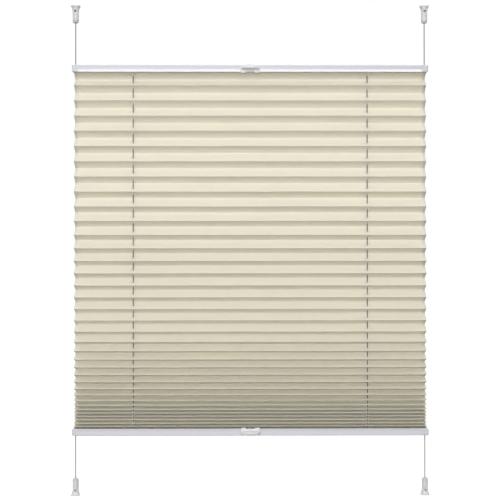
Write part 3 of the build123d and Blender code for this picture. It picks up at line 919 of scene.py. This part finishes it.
class BLIND_OT_stage(bpy.types.Operator):
    """Sets up the pale floor and backdrop, the soft lights and the camera"""

    bl_idname = "blind.stage"
    bl_label = "Stage"

    def execute(self, context):
        studio = context.scene.blind.studio
        scene = context.scene
        scene.view_settings.view_transform = "Standard"
        scene.world = self.room(studio)
        self.floor()
        self.soft_light("key_light", (-0.6, -4.6, 0.0), (2.6, 1.0), studio.key)
        self.soft_light("strip_light", (0.0, -3.0, 1.3), (2.6, 0.5), studio.strip)
        camera = bpy.data.cameras.new("camera")
        camera.lens = studio.lens
        camera.sensor_width = 36
        camera.clip_end = 50
        camera.dof.use_dof = False
        view = bpy.data.objects.new("camera", camera)
        view.location = (CAMERA_SIDE, -studio.distance, CAMERA_HEIGHT)
        view.rotation_mode = "XYZ"
        view.rotation_euler = [math.radians(angle) for angle in CAMERA_TILT]
        scene.collection.objects.link(view)
        scene.camera = view
        return {"FINISHED"}

    def room(self, studio):
        """A white room, bright behind the blind and dimmer in front of it."""
        world = bpy.data.worlds.new("soft_white_room")
        world.use_nodes = True
        tree = world.node_tree
        place = tree.nodes.new("ShaderNodeTexCoord")
        parts = tree.nodes.new("ShaderNodeSeparateXYZ")
        tree.links.new(place.outputs["Generated"], parts.inputs[0])
        behind = self.spread(tree, parts.outputs["Y"], (-0.3, 0.4), (studio.front_light, studio.room))
        above = self.spread(tree, parts.outputs["Z"], (0.25, 0.9), (0.0, studio.top_light))
        below = self.spread(tree, parts.outputs["Z"], (-0.35, -0.06), (studio.low_light, 1.0))
        total = tree.nodes.new("ShaderNodeMath")
        total.operation = "MULTIPLY_ADD"
        for socket, part in zip(total.inputs, (behind, below, above)):
            tree.links.new(part, socket)
        tree.links.new(total.outputs[0], tree.nodes["Background"].inputs["Strength"])
        tree.nodes["Background"].inputs["Color"].default_value = (1, 1, 1, 1)
        return world

    @staticmethod
    def spread(tree, height, ends, values):
        """Brightness that rises from one value to another between two ends of a direction."""
        light = tree.nodes.new("ShaderNodeMapRange")
        light.inputs["From Min"].default_value, light.inputs["From Max"].default_value = ends
        light.inputs["To Min"].default_value, light.inputs["To Max"].default_value = values
        tree.links.new(height, light.inputs["Value"])
        return light.outputs["Result"]

    def floor(self):
        """A wide white paper floor, a little below the blind, with a faint glow of its own."""
        height, reach = CAD_BOX[0][2] - FLOOR_DROP, 30.0
        lines = np.linspace(-reach, reach, 9)
        x, y = np.meshgrid(lines, lines)
        points = np.stack([x, y, np.full_like(x, height)], -1).reshape(-1, 3)
        mesh = bpy.data.meshes.new("paper_floor")
        mesh.from_pydata(points, [], grid_faces(9, 9).tolist())
        finish = Finish("white_paper")
        paper = finish.noise(1 / 0.02, 2)
        shade = finish.mix(finish.remap(paper, 0.3, 0.7), (0.85, 0.85, 0.85), (0.83, 0.83, 0.83))
        parts = finish.add("ShaderNodeSeparateXYZ", None, {0: finish.place})
        behind = finish.remap(parts.out("Y"), 0.2, 0.9)
        glow = finish.mix(behind, (0.15, 0.15, 0.15), (0.12, 0.12, 0.12))
        finish.surface(Base_Color=shade, Roughness=0.9, Emission_Color=glow, Emission_Strength=1.0)
        mesh.materials.append(finish.material)
        sheet = add_object("paper_floor", mesh)
        sheet.visible_diffuse = False  # it catches shadows but throws no light up into the pleats

    def soft_light(self, name, place, size, power):
        """A large soft box that faces the blind."""
        lamp = bpy.data.lights.new(name, "AREA")
        lamp.shape = "RECTANGLE"
        lamp.size, lamp.size_y = size
        lamp.energy = power
        light = bpy.data.objects.new(name, lamp)
        light.location = place
        aim = middle("pleated_fabric") - light.location
        light.rotation_euler = aim.to_track_quat("-Z", "Y").to_euler()
        bpy.context.scene.collection.objects.link(light)


class BLIND_PT_panel(bpy.types.Panel):
    """Lists the steps and settings of the blind"""

    bl_idname = "BLIND_PT_panel"
    bl_label = "Pleated blind"
    bl_space_type = "VIEW_3D"
    bl_region_type = "UI"
    bl_category = "Blind"

    def draw(self, context):
        for step in STEPS:
            self.layout.operator(step.bl_idname)
        for group in ("cloth", "hardware", "studio"):
            settings = getattr(context.scene.blind, group)
            box = self.layout.box()
            for name in settings.bl_rna.properties.keys():
                if name not in ("rna_type", "name"):
                    box.prop(settings, name)


STEPS = (
    BLIND_OT_cloth, BLIND_OT_cords, BLIND_OT_rails, BLIND_OT_caps, BLIND_OT_grips,
    BLIND_OT_shoes, BLIND_OT_inner_parts, BLIND_OT_stage,
)
CLASSES = (BlindCloth, BlindHardware, BlindStudio, BlindSettings, *STEPS, BLIND_PT_panel)


def register():
    """Makes the settings, operators and panel known."""
    for kind in CLASSES:
        bpy.utils.register_class(kind)
    bpy.types.Scene.blind = bpy.props.PointerProperty(type=BlindSettings)


def unregister():
    """Takes them away again."""
    del bpy.types.Scene.blind
    for kind in reversed(CLASSES):
        bpy.utils.unregister_class(kind)


def main():
    """Builds the whole blind."""
    register()
    for step in STEPS:
        group, name = step.bl_idname.split(".")
        getattr(getattr(bpy.ops, group), name)()


if __name__ == "__main__":
    main()
